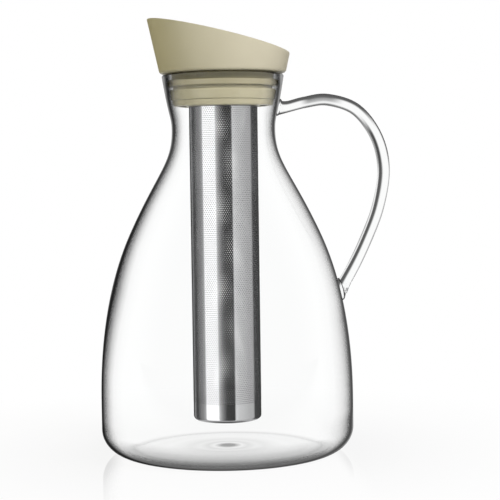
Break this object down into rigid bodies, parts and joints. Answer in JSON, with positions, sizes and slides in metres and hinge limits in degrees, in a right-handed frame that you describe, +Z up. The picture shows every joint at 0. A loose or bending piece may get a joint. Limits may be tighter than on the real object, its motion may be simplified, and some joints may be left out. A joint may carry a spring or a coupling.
{
  "type": "fruit infuser pitcher",
  "caption": "Bell-shaped glass pitcher with a welded rod handle, a flared lid with a slanted top that lifts out, and a perforated steel infuser tube hanging from the lid.",
  "frame": {"origin": "centre of the foot, on the table", "axes": "+Z up along the pitcher's axis, +X towards the handle, -X towards the lid's pouring tip"},
  "size_m": [0.1753, 0.151, 0.2583],
  "materials": {
    "clear_glass": "clear, blown and fire-polished",
    "sand_plastic": "satin moulded polypropylene, sand coloured",
    "silicone": "matte silicone",
    "steel": "bright perforated stainless sheet"
  },
  "bodies": {
    "vessel": {"glass_vessel": "clear_glass", "handle": "clear_glass"},
    "lid_seal": {"neck_seal": "silicone"},
    "lid": {"lid_cap": "sand_plastic", "lid_cover": "sand_plastic", "lid_plug": "sand_plastic"},
    "infuser": {"infuser_rim": "steel", "infuser_tube": "steel", "infuser_base": "steel"},
    "collar": {"infuser_collar": "sand_plastic"}
  },
  "joints": [
    {"name": "lid_lift", "type": "slide", "parent": "vessel", "child": "lid_seal", "axis": [0, 0, 1], "range_m": [0, 0.25]},
    {"name": "lid_turn", "type": "hinge", "parent": "lid_seal", "child": "lid", "pos_m": [0, 0, 0.22], "axis": [0, 0, 1], "continuous": true},
    {"name": "infuser_drop", "type": "slide", "parent": "lid", "child": "infuser", "axis": [0, 0, -1], "range_m": [0, 0.0045]},
    {"name": "collar_turn", "type": "hinge", "parent": "infuser", "child": "collar", "pos_m": [0, 0, 0.208], "axis": [0, 0, -1], "range_deg": [0, 540]}
  ],
  "couplings": [
    {"joint": "infuser_drop", "follows": "collar_turn", "m_per_rad": 0.00047746}
  ]
}
